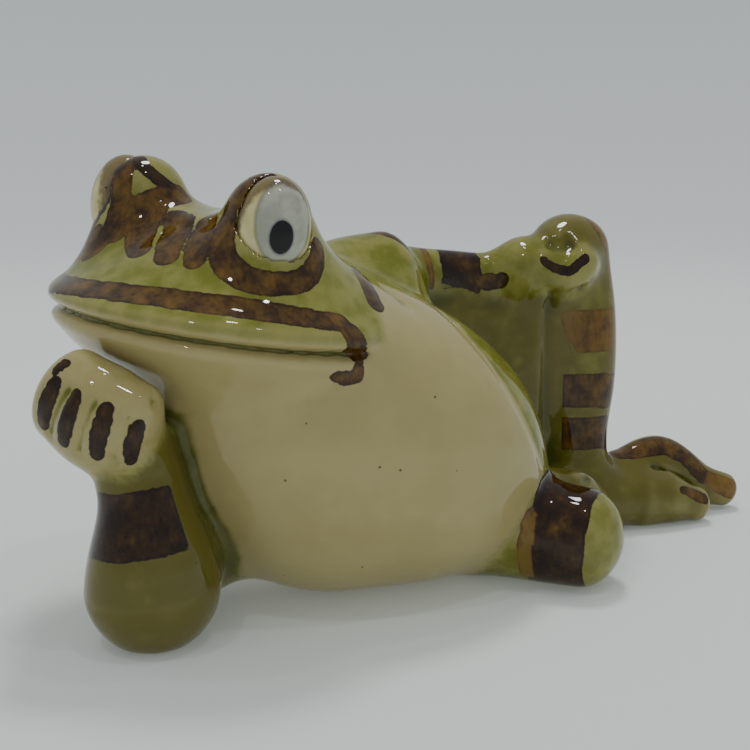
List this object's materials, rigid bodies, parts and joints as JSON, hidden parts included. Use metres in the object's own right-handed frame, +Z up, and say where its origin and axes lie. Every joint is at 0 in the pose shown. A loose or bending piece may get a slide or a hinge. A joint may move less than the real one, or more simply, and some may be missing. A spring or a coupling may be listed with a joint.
{
  "type": "reclining frog figurine",
  "caption": "Hollow ceramic frog lying on its side with its chin on its fist and one knee raised, under a glossy green and cream glaze with brown brush marks.",
  "frame": {"origin": "middle of the figure's outline, on the table it lies on", "axes": "+X from the head to the feet, +Y from the belly to the back, +Z up"},
  "size_m": [0.2104, 0.079, 0.1062],
  "materials": {
    "green_glaze": "glossy transparent glaze over a green wash with brown brush marks",
    "cream_glaze": "glossy transparent glaze over a cream body",
    "pearl_glaze": "glossy grey-white glaze with a black pupil"
  },
  "bodies": {
    "root": {"torso": "cream_glaze", "head": "green_glaze", "left_eyeball": "pearl_glaze", "right_eyeball": "pearl_glaze", "right_fist": "cream_glaze", "right_forearm": "green_glaze", "right_upper_arm": "green_glaze", "left_arm": "green_glaze", "left_hand": "green_glaze", "left_thigh": "green_glaze", "left_shank": "green_glaze", "left_foot": "green_glaze", "right_leg": "green_glaze", "right_foot": "green_glaze"}
  },
  "joints": []
}
